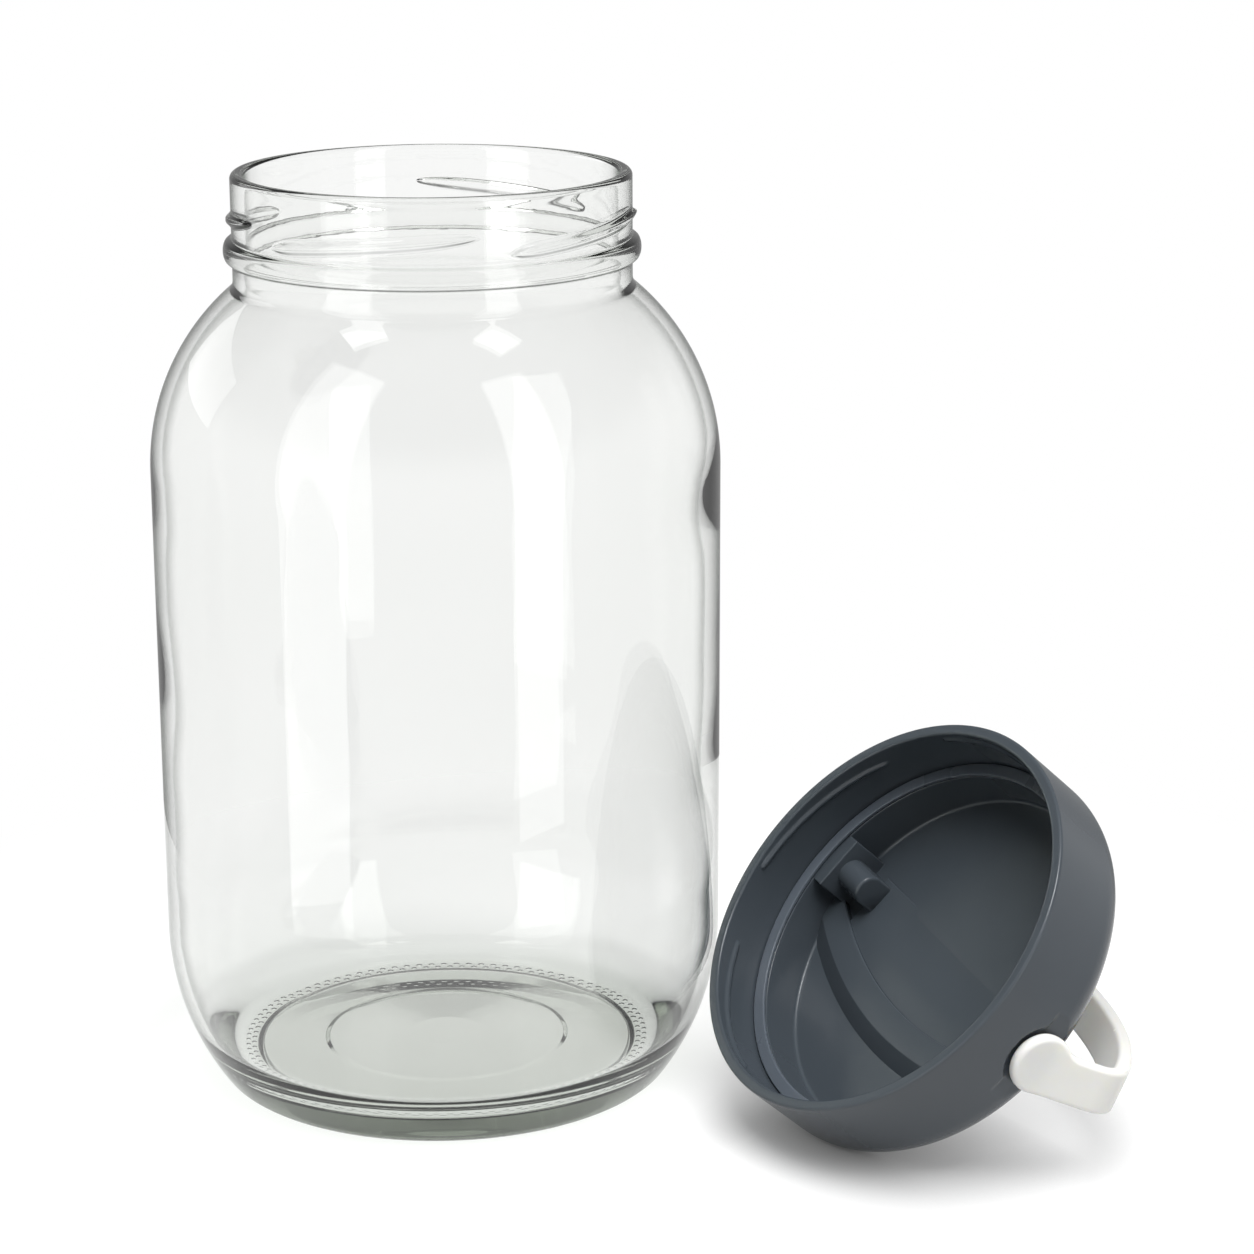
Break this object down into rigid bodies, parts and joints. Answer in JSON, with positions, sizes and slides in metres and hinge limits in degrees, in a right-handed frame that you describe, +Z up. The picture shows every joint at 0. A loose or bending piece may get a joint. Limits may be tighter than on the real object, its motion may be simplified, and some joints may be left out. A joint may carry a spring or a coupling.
{
  "type": "glass storage jar",
  "caption": "Wide-neck glass storage jar with its screw lid off and leaning beside it, and a swinging carry handle on the lid.",
  "frame": {"origin": "middle of the footprint of jar and leaning lid, on the surface they stand on", "axes": "+Z up along the jar's axis, -Y towards the viewer, +X towards the lid that leans at the jar's right"},
  "size_m": [0.263, 0.18, 0.253],
  "materials": {
    "clear_glass": "polished, nearly colourless, faint green where it is thick",
    "slate_plastic": "semi-gloss moulded, slate grey",
    "seal_plastic": "soft satin, grey",
    "white_plastic": "glossy moulded, warm white"
  },
  "bodies": {
    "jar": {"glass_jar": "clear_glass"},
    "lid": {"lid_moulding": "slate_plastic", "seal_ring": "seal_plastic"},
    "handle": {"carry_handle": "white_plastic"}
  },
  "joints": [
    {"name": "lid_lift", "type": "slide", "parent": "jar", "child": "lid", "axis": [0, 0, 1], "range_m": [0, 0.28]},
    {"name": "handle_pivot", "type": "hinge", "parent": "lid", "child": "handle", "pos_m": [0.07937, -0.02718, 0.04562], "axis": [0.3982, -0.9019, -0.1672], "range_deg": [-87, 45]}
  ]
}
